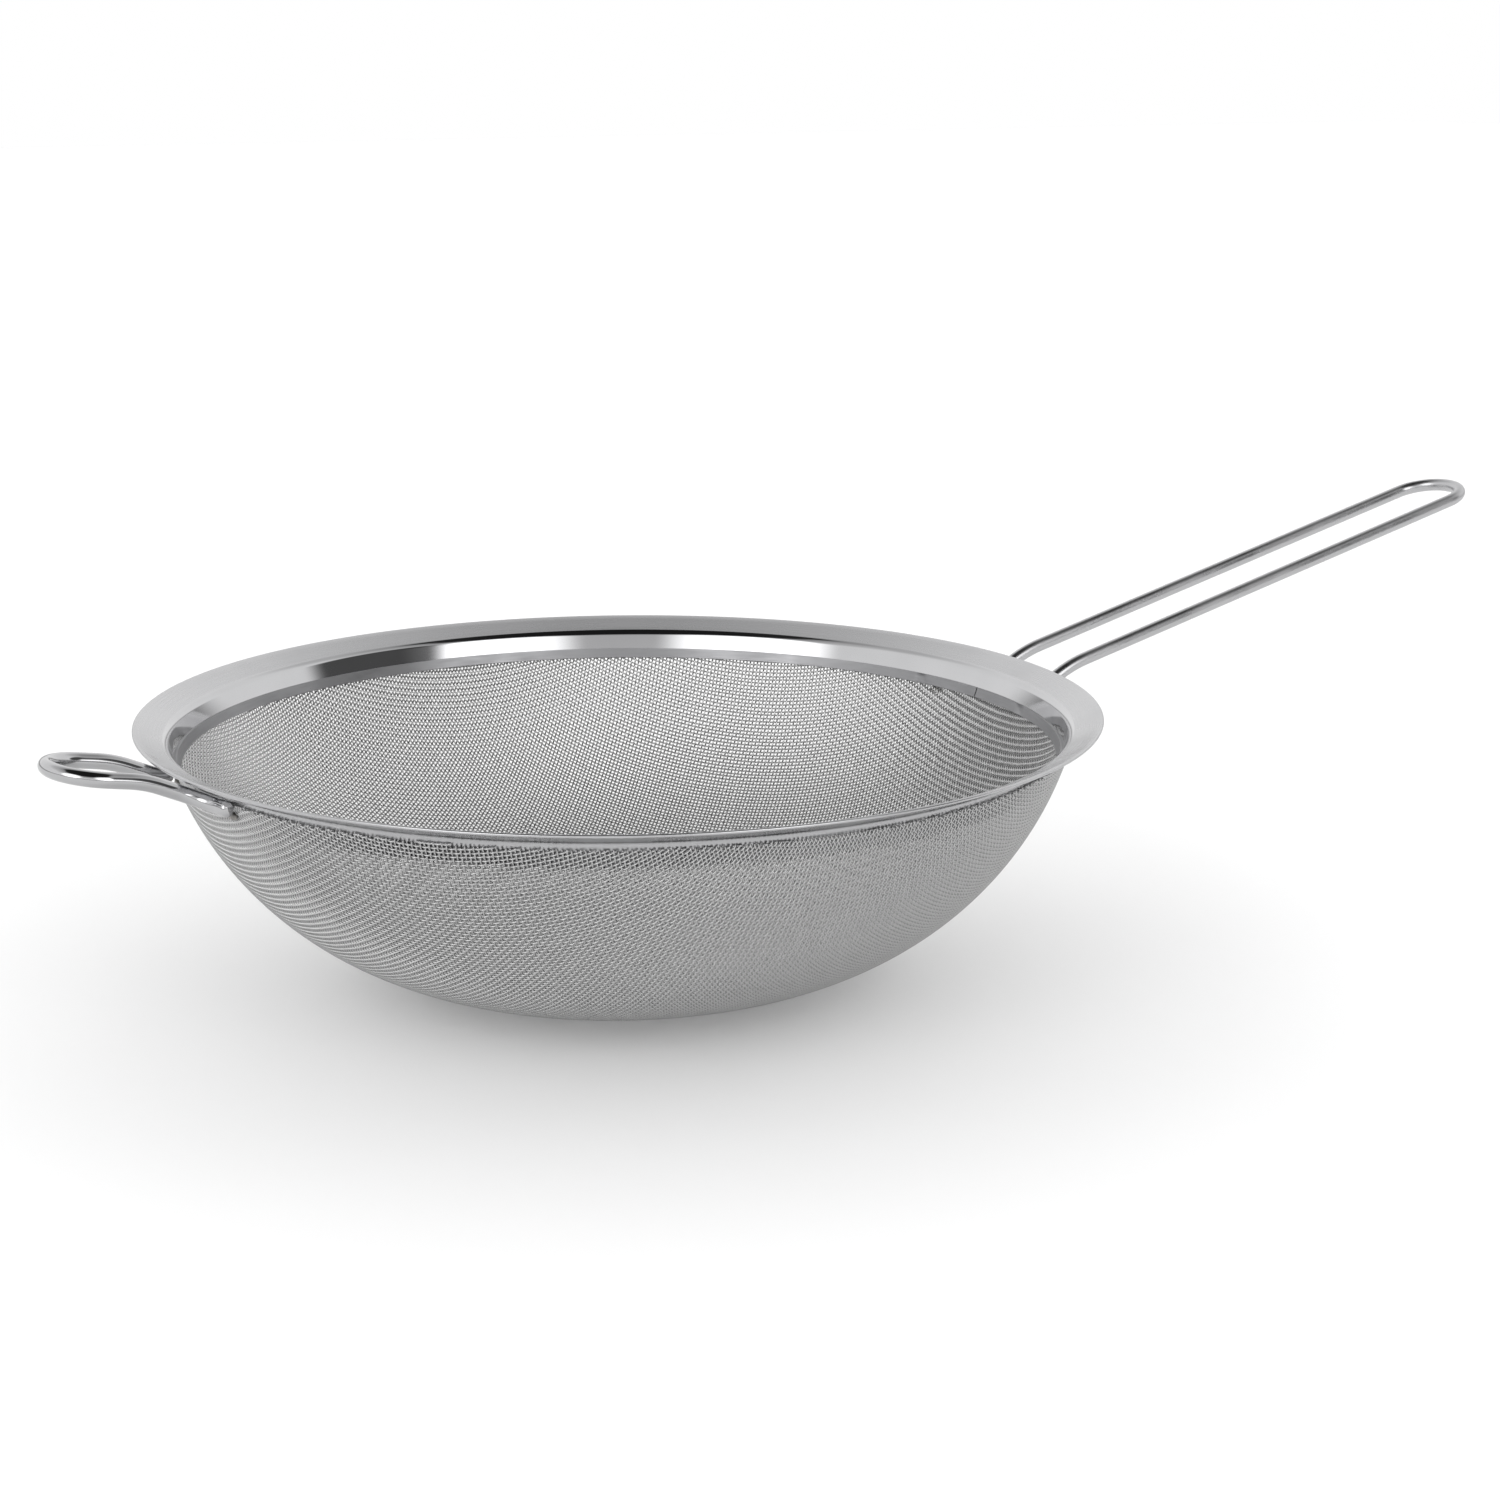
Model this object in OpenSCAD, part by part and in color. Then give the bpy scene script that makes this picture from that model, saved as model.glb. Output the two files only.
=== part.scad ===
// Round wire-mesh kitchen strainer with a wide flared rim, a two-wire handle and a support loop.
// Millimetres. +Z is the bowl's axis, pointing up out of the mouth, and +X points along the handle.
// The origin is the centre of the mouth, level with the top of the rim's outer edge.

/* [Rim] */
// Radius of the rim at its outer edge
rim_r = 120; // [112:0.5:130]
// Thickness of the rim's sheet steel
sheet_t = 0.8; // [0.6:0.1:1.2]
// Slope of the flange, rising outwards
flange_slope = 22; // [18:1:26]
// Radius of the polished bend between the flange and the throat
throat_bend_r = 2.5; // [2:0.5:4]
// Radius of the throat where the clamping strip begins
throat_r = 110; // [108:0.5:111]
// Lean of the throat wall from the vertical
throat_lean = 19.5; // [15:0.5:23]

/* [Clamping strip] */
// Depth of the strip's upper edge below the rim's outer edge
strip_top = 7.8; // [7:0.1:8.5]
// Width of the strip, measured down the axis
strip_h = 2.6; // [2.4:0.1:4]
// Thickness of the strip
strip_t = 0.5; // [0.4:0.05:0.6]
// Gap left where the two ends of the strip meet
seam_gap = 0.4; // [0.2:0.1:1]

/* [Mesh bowl] */
// Thickness of the woven wire cloth, two wires deep
mesh_t = 0.8; // [0.6:0.1:1]
// Depth at which the mesh starts under the flange
hem_top = 5.9; // [5.8:0.1:6.4]
// Radius of the curved side of the bowl
side_r = 84; // [80:1:88]
// Radius of the shallow bottom of the bowl
bottom_r = 329; // [240:1:400]

/* [Handle] */
// Diameter of the handle's wire
handle_wire_d = 3.5; // [3:0.1:3.8]
// Distance between the centres of the two handle wires
handle_gauge = 20.8; // [18:0.2:24]
// Distance from the bowl's axis to the outermost centre line of the end bend
handle_reach = 280.2; // [240:0.2:310]
// Rise of the handle, outwards
handle_rise = 13.7; // [12:0.1:15]

/* [Support loop] */
// Diameter of the loop's wire
loop_wire_d = 3.8; // [3.4:0.1:4]
// Distance between the centres of the loop's two legs
loop_gauge = 21.8; // [20:0.2:24]
// Distance from the bowl's axis to the outermost centre line of the end bend
loop_reach = 146.4; // [144:0.2:152]
// Rise of the loop, outwards
loop_rise = 9.7; // [8:0.1:14]

/* [Welded feet] */
// Depth of the handle's feet below the rim's outer edge
handle_foot_depth = 9.3; // [9:0.1:9.6]
// Depth of the loop's feet below the rim's outer edge
loop_foot_depth = 6; // [5.8:0.1:6.4]
// Length of each of the handle's feet past the point where it touches the mesh
handle_foot_reach = 7; // [5:0.5:9]
// Length of each of the loop's feet past the point where it touches the mesh
loop_foot_reach = 3.8; // [3.4:0.1:6]
// Thickness of the welds under the feet
weld_d = 1.2; // [0.8:0.1:1.4]

/* [Hidden] */
$fn = 64;
fit_gap = 0.03;
lap = 0.02;
// Drawn wire and pressed sheet come out this much thinner where they are bent
draw_t = 0.01;

polished_steel = [0.80, 0.80, 0.81];
strip_steel = [0.62, 0.62, 0.62];
mesh_steel = [0.70, 0.70, 0.70];
wire_steel = [0.74, 0.74, 0.75];
weld_steel = [0.50, 0.50, 0.52];

function dir(a) = [cos(a), sin(a)];
function unit(v) = v / norm(v);

// ---- the throat wall: a straight line in the rim's section, leaning inwards as it goes down ----
// Unit vectors in the section, [radius, height]. wall_out points out of the throat's metal.
wall_out = dir(-throat_lean);
wall_down = dir(-90 - throat_lean);
throat_edge = [throat_r, -strip_top];
function on_wall(depth, outward) =
    throat_edge + wall_down * (depth - strip_top) / cos(throat_lean) + wall_out * outward;

// ---- the rim's section: flange line, bend and wall, given on the upper and inner side ----
flange_in = dir(180 + flange_slope);
flange_down = dir(flange_slope - 90);
edge_r = sheet_t / 2;
rim_edge = [rim_r - edge_r, -edge_r] - flange_down * edge_r;
bend_turn = 90 - throat_lean - flange_slope;
// How far along the flange line it would meet the wall line if there were no bend
corner_run = cross(throat_edge - rim_edge, wall_down) / cross(flange_in, wall_down);
corner = rim_edge + flange_in * corner_run;
bend_reach = throat_bend_r * tan(bend_turn / 2);
bend_top = corner - flange_in * bend_reach;
bend_low = corner + wall_down * bend_reach;
bend_centre = bend_top + flange_down * throat_bend_r;

// ---- the mesh bowl: a side arc that continues the hem, and a shallow bottom arc tangent to it ----
mesh_inner = sheet_t + fit_gap;
mesh_outer = mesh_inner + mesh_t;
strip_end = strip_top + strip_h;
// How far the sheet stops short of the strip's lower edge
sheet_inset = 0.6;
sheet_end = strip_end - sheet_inset;
side_start = on_wall(strip_end, mesh_outer);
side_centre = side_start - wall_out * side_r;
bottom_centre = [0, side_centre[1] + sqrt(pow(bottom_r - side_r, 2) - pow(side_centre[0], 2))];
// Angle below the horizontal at which the side arc hands over to the bottom arc
knuckle = atan2(bottom_centre[1] - side_centre[1], side_centre[0]);
lap_turn = 5 * lap / bottom_r * 180 / PI;

// ---- the handle's bends: [distance from the axis, height, radius of the bend] ----
handle_dip = [133.5, -2.02, 36];
handle_run_in = [123.5, -7.34, 20];
// ---- the loop's bend ----
loop_dip = [128, 0.35, 30];
// ---- the feet: straight ends that touch the mesh at this angle from the leg's centre line ----
handle_foot_angle = 9.5;
loop_foot_angle = 9;
handle_elbow_r = 4.5;
loop_elbow_r = 8;
// How far the wedge that ends a curved band reaches past it, at its sides and at its middle
wedge_margin = 1.2;
wedge_bulge = 1.3;
// Half of the short straight in the middle of each end bend
tip_flat = 0.2;
// Half of the length of each weld
weld_half = 3;

// Radius at which a foot's centre line touches the mesh cone, at its depth
function foot_r(d, depth) =
    throat_r - (depth - strip_top) * tan(throat_lean) + (mesh_outer + fit_gap + d / 2) / cos(throat_lean);
// A point on a foot's centre line, t past the point where it touches
function on_foot(d, depth, angle, t) =
    let (p = foot_r(d, depth) * dir(angle) + t * dir(angle + 90)) [p[0], p[1], -depth];
// Where the foot's line crosses its own leg's line
function foot_corner(d, depth, angle, half_gauge) =
    on_foot(d, depth, angle, half_gauge / cos(angle) - foot_r(d, depth) * tan(angle));

// ---------------------------------------------------------------- small tools

// A band of the given thickness in the section, along one side of the line from p to q
module band(p, q, toward, t) {
    polygon([p, q, q + toward * t, p + toward * t]);
}

// A curved band in the section: the outer radius, the thickness, and the angles it spans
module curved_band(centre, outer, t, from_angle, to_angle) {
    middle = (from_angle + to_angle) / 2;
    // Far enough out for the wedge to cut nothing but the band's two ends
    span = outer / cos((to_angle - from_angle) / 2) * wedge_margin;
    intersection() {
        translate(centre)
            difference() {
                circle(r = outer);
                circle(r = outer - t);
            }
        polygon([centre, centre + span * dir(from_angle), centre + span * wedge_bulge * dir(middle),
                 centre + span * dir(to_angle)]);
    }
}

// A straight length of wire
module rod(d, a, b) {
    v = b - a;
    translate(a)
        rotate([0, acos(v[2] / norm(v)), atan2(v[1], v[0])])
            cylinder(d = d, h = norm(v));
}

// A bend of wire at the corner p, between the lines from a to p and from p to b
module bend(d, r, a, p, b) {
    u = unit(p - a);
    w = unit(b - p);
    inward = unit(w - (w * u) * u);
    turn = acos(u * w);
    centre = p - u * r * tan(turn / 2) + inward * r;
    side = cross(-inward, u);
    multmatrix([[-inward[0], u[0], side[0], centre[0]],
                [-inward[1], u[1], side[1], centre[1]],
                [-inward[2], u[2], side[2], centre[2]],
                [0, 0, 0, 1]])
        rotate_extrude(angle = turn)
            translate([r, 0]) circle(d = d - draw_t);
}

// How much of each line a bend of radius r takes up at the corner p
function bend_trim(r, a, p, b) = r * tan(acos(unit(p - a) * unit(b - p)) / 2);

// A wire through a list of corners, with a bend radius for every corner but the two ends
module bent_wire(d, p, r) {
    last = len(p) - 1;
    trim = [for (i = [0 : last]) i == 0 || i == last ? 0 : bend_trim(r[i], p[i - 1], p[i], p[i + 1])];
    for (i = [0 : last - 1]) {
        v = unit(p[i + 1] - p[i]);
        if (norm(p[i + 1] - p[i]) - trim[i] - trim[i + 1] > lap)
            rod(d, p[i] + v * (trim[i] - (i == 0 ? 0 : lap)),
                p[i + 1] - v * (trim[i + 1] - (i + 1 == last ? 0 : lap)));
    }
    for (i = [1 : last - 1])
        bend(d, r[i], p[i - 1], p[i], p[i + 1]);
}

module both_sides() {
    children();
    mirror([0, 1, 0]) children();
}

// One weld: a short rod of metal in the crevice between a foot and the mesh
module weld(d, depth, angle) {
    drop = 2 * sqrt(d / 2 * weld_d / 2) + fit_gap;
    inset = d / 2 - weld_d / 2 - fit_gap;
    shift = wall_down * drop - wall_out * inset;
    a = on_foot(d, depth, angle, -weld_half);
    b = on_foot(d, depth, angle, weld_half);
    out = dir(angle) * shift[0];
    rod(weld_d, a + [out[0], out[1], shift[1]], b + [out[0], out[1], shift[1]]);
}

// ---------------------------------------------------------------- sub-parts

// The pressed sheet-steel rim: sloping flange, polished bend and leaning throat wall
module rim() {
    color(polished_steel)
        rotate_extrude()
            union() {
                translate(rim_edge + flange_down * edge_r) circle(r = edge_r);
                band(rim_edge, bend_top + flange_in * lap, flange_down, sheet_t);
                curved_band(bend_centre, throat_bend_r, sheet_t,
                            90 + flange_slope, 180 - throat_lean);
                band(bend_low - wall_down * lap, on_wall(sheet_end, 0), wall_out, sheet_t);
            }
}

// The thin strip that clamps the mesh to the rim from inside, with its open butt seam
module clamping_strip() {
    seam_turn = seam_gap / throat_r * 180 / PI;
    color(strip_steel)
        rotate([0, 0, seam_turn / 2])
            rotate_extrude(angle = 360 - seam_turn)
                band(on_wall(strip_top, -fit_gap), on_wall(strip_end, -fit_gap), -wall_out, strip_t);
}

// The woven wire cloth, as a plain shell of the cloth's thickness
module mesh_bowl() {
    color(mesh_steel)
        rotate_extrude()
            union() {
                band(on_wall(hem_top, mesh_outer), side_start + wall_down * lap, -wall_out, mesh_t);
                curved_band(side_centre, side_r, mesh_t, -knuckle, -throat_lean);
                curved_band(bottom_centre, bottom_r - draw_t, mesh_t - 2 * draw_t, -90, lap_turn - knuckle);
            }
}

// The handle: one wire bent into a long U, dipping under the rim and ending in two feet
module handle_wire() {
    side = handle_gauge / 2;
    tip_z = handle_dip[1] + (handle_reach - handle_dip[0]) * tan(handle_rise);
    foot_corner_p = foot_corner(handle_wire_d, handle_foot_depth, handle_foot_angle, side);
    foot_end = on_foot(handle_wire_d, handle_foot_depth, handle_foot_angle, handle_foot_reach);
    half = [[handle_reach, side, tip_z], [handle_dip[0], side, handle_dip[1]],
            [handle_run_in[0], side, handle_run_in[1]], foot_corner_p, foot_end];
    radii = [side - tip_flat, handle_dip[2], handle_run_in[2], handle_elbow_r];
    color(wire_steel)
        mirrored_wire(handle_wire_d, half, radii);
}

// The loop opposite the handle, which rests on the far edge of a pot or bowl
module support_loop() {
    side = loop_gauge / 2;
    tip_z = loop_dip[1] + (loop_reach - loop_dip[0]) * tan(loop_rise);
    foot_corner_p = foot_corner(loop_wire_d, loop_foot_depth, loop_foot_angle, side);
    foot_end = on_foot(loop_wire_d, loop_foot_depth, loop_foot_angle, loop_foot_reach);
    half = [[loop_reach, side, tip_z], [loop_dip[0], side, loop_dip[1]], foot_corner_p, foot_end];
    radii = [side - tip_flat, loop_dip[2], loop_elbow_r];
    color(wire_steel)
        rotate([0, 0, 180])
            mirrored_wire(loop_wire_d, half, radii);
}

// A U of wire from one half of its corners, from the end bend's corner to the end of the foot
module mirrored_wire(d, half, radii) {
    last = len(half) - 1;
    path = [for (i = [last : -1 : 0]) half[i], for (q = half) [q[0], -q[1], q[2]]];
    path_r = [0, for (i = [len(radii) - 1 : -1 : 0]) radii[i], for (q = radii) q, 0];
    bent_wire(d, path, path_r);
}

// The welds that fix the handle's two feet to the mesh and the rim
module handle_welds() {
    color(weld_steel)
        both_sides() weld(handle_wire_d, handle_foot_depth, handle_foot_angle);
}

// The welds that fix the loop's two feet to the mesh and the rim
module loop_welds() {
    color(weld_steel)
        rotate([0, 0, 180])
            both_sides() weld(loop_wire_d, loop_foot_depth, loop_foot_angle);
}

rim();
clamping_strip();
mesh_bowl();
handle_wire();
support_loop();
handle_welds();
loop_welds();
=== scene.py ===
"""Looks of a round wire-mesh kitchen strainer, built round its CAD frame.

Units are metres, in the CAD's own frame: +Z is the bowl's axis, pointing up out of the mouth, and
+X points along the handle. Every piece is modelled in place, so nothing is moved afterwards.
"""
import math

import bpy
import numpy as np
from bpy.props import FloatProperty, FloatVectorProperty, IntProperty, PointerProperty
from bpy.types import Operator, Panel, PropertyGroup
from mathutils import Matrix, Vector


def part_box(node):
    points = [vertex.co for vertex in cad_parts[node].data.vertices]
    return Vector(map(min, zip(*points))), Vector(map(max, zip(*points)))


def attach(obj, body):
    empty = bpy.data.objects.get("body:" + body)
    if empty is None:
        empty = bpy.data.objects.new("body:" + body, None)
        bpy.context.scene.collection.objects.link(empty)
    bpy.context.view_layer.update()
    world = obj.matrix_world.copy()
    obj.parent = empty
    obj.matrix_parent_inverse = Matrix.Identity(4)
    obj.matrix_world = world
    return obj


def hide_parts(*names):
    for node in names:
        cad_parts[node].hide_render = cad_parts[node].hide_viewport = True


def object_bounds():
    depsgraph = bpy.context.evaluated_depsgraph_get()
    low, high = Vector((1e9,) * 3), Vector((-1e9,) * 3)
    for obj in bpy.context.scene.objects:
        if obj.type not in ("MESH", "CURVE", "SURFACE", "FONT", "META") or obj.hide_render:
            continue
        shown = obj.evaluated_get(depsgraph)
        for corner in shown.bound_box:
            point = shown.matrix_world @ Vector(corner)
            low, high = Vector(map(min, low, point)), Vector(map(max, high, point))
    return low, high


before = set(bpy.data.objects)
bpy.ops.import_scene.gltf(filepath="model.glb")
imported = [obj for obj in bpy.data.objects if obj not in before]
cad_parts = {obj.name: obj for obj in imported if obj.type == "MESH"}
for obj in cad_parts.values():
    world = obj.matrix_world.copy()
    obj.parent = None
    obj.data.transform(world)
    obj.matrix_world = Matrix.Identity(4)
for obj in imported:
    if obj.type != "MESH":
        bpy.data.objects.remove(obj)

bl_info = {
    "name": "Wire Mesh Strainer",
    "version": (1, 0, 0),
    "blender": (4, 5, 0),
    "location": "View3D > Sidebar > Strainer",
    "description": "Builds a wire mesh strainer piece by piece round its CAD frame",
    "category": "Add Mesh",
}

MM = 0.001
CAD_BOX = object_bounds()
RIM_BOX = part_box("rim")
HANDLE_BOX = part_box("handle_wire")
LOOP_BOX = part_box("support_loop")

# Gap left between pieces that touch on the real object
FIT_GAP = 0.03 * MM
# How far the rim's sheet stops short of the strip's lower edge
SHEET_INSET = 0.6 * MM
# Half of the short straight in the middle of each wire's end bend
TIP_FLAT = 0.2 * MM
# How far the rounded end of a foot stands out from the pressed wire
END_ROUND = 1.4 * MM
# Where the feet touch the cloth, as degrees from the line of handle and loop
HANDLE_FOOT_TURN, LOOP_FOOT_TURN = 9.5, 9.0
# The handle dips down to the rim at the first of these points, and levels out a little at the
# second. The loop has one dip. Each is (distance from the axis, height) and the bend's radius.
HANDLE_DIP, HANDLE_DIP_R = (133.5 * MM, -2.02 * MM), 36 * MM
HANDLE_RUN_IN, HANDLE_RUN_IN_R = (123.5 * MM, -7.34 * MM), 20 * MM
LOOP_DIP, LOOP_DIP_R = (128.0 * MM, 0.35 * MM), 30 * MM
HANDLE_ELBOW_R, LOOP_ELBOW_R = 4.5 * MM, 8.0 * MM
# Length of each foot past the point where it touches the cloth, without its rounded end
HANDLE_FOOT_REACH, LOOP_FOOT_REACH = 5.6 * MM, 2.4 * MM
# The part of a noise's range that its values mostly fall in
NOISE_MIDDLE = (0.3, 0.7)
# The most faces in one piece of cloth, counted before quads are split into triangles
CLOTH_FACES = 90000


def length(name, text, default, **more):
    """A length that a user may change."""
    return FloatProperty(name=name, description=text, default=default, unit="LENGTH",
                         subtype="DISTANCE", precision=5, **more)


def angle(name, text, degrees):
    """An angle that a user may change."""
    return FloatProperty(name=name, description=text, default=math.radians(degrees),
                         unit="ROTATION", subtype="ANGLE")


def tint(name, text, default):
    """A colour that a user may change."""
    return FloatVectorProperty(name=name, description=text, default=default, size=3,
                               min=0.0, max=1.0, subtype="COLOR")


def share(name, text, default):
    """A share from none to all of something."""
    return FloatProperty(name=name, description=text, default=default, min=0.0, max=1.0,
                         subtype="FACTOR")


# ------------------------------------------------------------------ settings

class StrainerRimSettings(PropertyGroup):
    """Sizes and finish of the pressed rim and the clamping strip."""

    rim_r: length("Rim radius", "Radius of the rim's outer edge", float(RIM_BOX[1][0]))
    sheet_t: length("Sheet", "Thickness of the rim's sheet", 0.8 * MM)
    flange_slope: angle("Flange slope", "Rise of the flange, outwards", 22.0)
    bend_r: length("Bend radius", "Bend between flange and throat", 2.5 * MM)
    throat_r: length("Throat radius", "Throat's inner face at the strip's top", 110.0 * MM)
    throat_lean: angle("Throat lean", "Lean of the throat wall from upright", 19.5)
    strip_top: length("Strip depth", "Depth of the strip's upper edge", 7.8 * MM)
    strip_h: length("Strip width", "Width of the strip down the axis", 2.6 * MM)
    strip_t: length("Strip thickness", "Thickness of the strip", 0.5 * MM)
    seam_gap: length("Seam", "Gap where the strip's ends meet", 0.4 * MM)
    dent_depth: length("Weld dents", "Depth of the electrode marks in the strip", 0.26 * MM)
    steps: IntProperty(name="Steps", description="Steps round the rim", default=720, min=90)
    steel: tint("Rim steel", "Colour of the polished sheet", (0.60, 0.60, 0.61))
    strip_steel: tint("Strip steel", "Colour of the rolled strip", (0.36, 0.36, 0.37))
    gloss: share("Roughness", "Roughness of the satin flange", 0.27)


class StrainerClothSettings(PropertyGroup):
    """Weave of the wire cloth and the curve of the bowl."""

    wire_d: length("Wire", "Diameter of the cloth's wires", 0.45 * MM)
    pitch: length("Pitch", "Distance from one wire to the next", 1.035 * MM)
    weave_turn: angle("Weave turn", "Turn of the weave against the handle", 40.0)
    hem_top: length("Hem depth", "Depth at which the cloth is cut off", 5.7 * MM)
    cloth_t: length("Cloth", "Thickness of the cloth, two wires deep", 0.8 * MM)
    side_r: length("Side radius", "Radius of the bowl's curved side", 84.0 * MM)
    bottom_r: length("Bottom radius", "Radius of the bowl's shallow bottom", 329.0 * MM)
    sides: IntProperty(name="Sides", description="Sides of each wire", default=6, min=4, max=12)
    ripple: length("Ripple", "How far the wires wander off their true place", 0.035 * MM)
    steel: tint("Cloth steel", "Colour of the cloth's wire", (0.56, 0.56, 0.56))
    gloss: share("Roughness", "Roughness of the cloth's wire", 0.2)


class StrainerWireSettings(PropertyGroup):
    """Sizes and finish of the handle, the support loop and their welds."""

    handle_d: length("Handle wire", "Diameter of the handle's wire", 3.5 * MM)
    handle_gauge: length("Handle gauge", "Between the centres of the handle's legs", 20.8 * MM)
    handle_foot: length("Handle feet", "Depth of the handle's feet", 9.3 * MM)
    loop_d: length("Loop wire", "Diameter of the loop's wire", 3.8 * MM)
    loop_gauge: length("Loop gauge", "Between the centres of the loop's legs", 21.8 * MM)
    loop_foot: length("Loop feet", "Depth of the loop's feet", 6.0 * MM)
    handle_rise: angle("Handle rise", "Rise of the handle, outwards", 13.7)
    loop_rise: angle("Loop rise", "Rise of the loop, outwards", 9.7)
    flatten: share("Flattening", "How far the welded feet are pressed flat", 0.12)
    steel: tint("Wire steel", "Colour of the drawn wire", (0.58, 0.58, 0.59))
    weld_steel: tint("Weld metal", "Colour of the welds", (0.30, 0.29, 0.28))
    handle_gloss: share("Handle roughness", "Roughness of the handle's satin wire", 0.28)
    loop_gloss: share("Loop roughness", "Roughness of the loop's polished wire", 0.08)


class StrainerStageSettings(PropertyGroup):
    """Floor, light and camera."""

    floor_tint: tint("Floor", "Colour of the floor", (0.90, 0.90, 0.90))
    backdrop: FloatProperty(name="Backdrop", description="Brightness of the surroundings",
                            default=1.0, min=0.0)
    ceiling: FloatProperty(name="Ceiling", description="Brightness of the dark ceiling",
                           default=0.025, min=0.0)
    horizon: FloatProperty(name="Horizon", description="Brightness of the room's dark edge",
                           default=0.3, min=0.0)
    # Share of the floor's colour that the steel's reflections see: painted shade in the floor's
    # reflection
    reflection_shade_share: share("Mirrored floor", "Share of the floor's brightness seen in the steel", 0.8)
    overhead: FloatProperty(name="Overhead", description="Strength of the light on the floor",
                            default=2.0, min=0.0)
    softbox: FloatProperty(name="Softboxes", description="Brightness of the two front softboxes",
                           default=1.6, min=0.0)
    camera_away: length("Camera distance", "From the camera to the rim's centre", 0.72)
    camera_turn: angle("Camera turn", "Direction of the camera round the axis", -118.65)
    camera_rise: angle("Camera rise", "Height of the camera above the rim's plane", 12.92)
    lens: FloatProperty(name="Lens", description="Focal length", default=68.96, min=10.0,
                        unit="CAMERA")


# ------------------------------------------------------------------ small tools

def heading(a):
    """Unit vector at an angle, in the section (radius, height) or in the plan (x, y)."""
    return np.array([math.cos(a), math.sin(a)])


def quad_mesh(name, points, quads, smooth=True, sharp_angle=None):
    """A mesh object from points and quads, linked into the scene."""
    mesh = bpy.data.meshes.new(name)
    points = np.asarray(points, dtype=np.float32)
    quads = np.asarray(quads, dtype=np.int32)
    mesh.vertices.add(len(points))
    mesh.vertices.foreach_set("co", points.ravel())
    mesh.loops.add(quads.size)
    mesh.loops.foreach_set("vertex_index", quads.ravel())
    mesh.polygons.add(len(quads))
    mesh.polygons.foreach_set("loop_start", np.arange(0, quads.size, 4, dtype=np.int32))
    mesh.update(calc_edges=True)
    if smooth:
        mesh.polygons.foreach_set("use_smooth", np.ones(len(quads), dtype=bool))
    if sharp_angle is not None:
        mesh.set_sharp_from_angle(angle=sharp_angle)
    piece = bpy.data.objects.new(name, mesh)
    bpy.context.scene.collection.objects.link(piece)
    return piece


def grid_quads(rings, around, close_rings, first=0):
    """Quads that join rings of points, each ring closed on itself."""
    steps = rings if close_rings else rings - 1
    i = np.arange(steps)[:, None]
    j = np.arange(around)[None, :]
    i2, j2 = (i + 1) % rings, (j + 1) % around
    a, b, c, d = i * around + j, i2 * around + j, i2 * around + j2, i * around + j2
    return first + np.stack([a, b, c, d], axis=-1).reshape(-1, 4)


def lathe(name, section, turns):
    """A closed section swept round the Z axis at the given angles. A full turn is closed."""
    section = np.asarray(section)
    full = abs(turns[-1] - turns[0] - 2 * math.pi) < 1e-9
    turns = turns[:-1] if full else turns
    if section.ndim == 2:
        section = np.broadcast_to(section, (len(turns),) + section.shape)
    r, z = section[..., 0], section[..., 1]
    points = np.stack([r * np.cos(turns)[:, None], r * np.sin(turns)[:, None], z], axis=-1)
    count = section.shape[1]
    quads = grid_quads(len(turns), count, full)
    if not full:
        quads = np.concatenate([quads, end_quads(0, count, True),
                                end_quads((len(turns) - 1) * count, count, False)])
    return quad_mesh(name, points.reshape(-1, 3), quads, sharp_angle=math.radians(40))


def end_quads(first, count, flip):
    """Quads that close the flat end of a band whose ring has an even count of points."""
    half = count // 2
    out = []
    for k in range(half - 1):
        quad = [first + k, first + k + 1, first + count - 2 - k, first + count - 1 - k]
        out.append(quad[::-1] if flip else quad)
    return np.array(out)


def arc_points(centre, radius, from_angle, to_angle, count):
    """Points along an arc in the section."""
    a = np.linspace(from_angle, to_angle, count)
    return np.array(centre) + radius * np.stack([np.cos(a), np.sin(a)], axis=-1)


def unit(v):
    """The same direction with a length of one."""
    return v / np.linalg.norm(v)


def bent_path(corners, radii, step):
    """Points along straight lines with an arc at each inner corner."""
    out = [np.array(corners[0])]
    for k in range(1, len(corners) - 1):
        a, p, b = (np.array(q) for q in corners[k - 1:k + 2])
        u, w = unit(p - a), unit(b - p)
        turn = math.acos(float(np.clip(u @ w, -1, 1)))
        inward = unit(w - (w @ u) * u)
        start = p - u * radii[k] * math.tan(turn / 2)
        centre = start + inward * radii[k]
        for t in np.linspace(0, turn, max(6, int(turn * radii[k] / step) + 2)):
            out.append(centre + radii[k] * (math.sin(t) * u - math.cos(t) * inward))
    out.append(np.array(corners[-1]))
    path = [out[0]]
    for q in out[1:]:
        gap = np.linalg.norm(q - path[-1])
        if gap < step * 0.05:
            continue
        for s in range(1, int(gap / (step * 4)) + 1):
            path.append(path[-1] + (q - path[-1]) * (step * 4) / np.linalg.norm(q - path[-1]))
        path.append(q)
    return np.array(path)


# ------------------------------------------------------------------ shape of the throat and bowl

def wall_point(rim, depth, outward):
    """A point in the section: down the throat wall to a depth, and out from its inner face."""
    out, down = heading(-rim.throat_lean), heading(-math.pi / 2 - rim.throat_lean)
    start = np.array([rim.throat_r, -rim.strip_top])
    return start + down * (depth - rim.strip_top) / math.cos(rim.throat_lean) + out * outward


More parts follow.
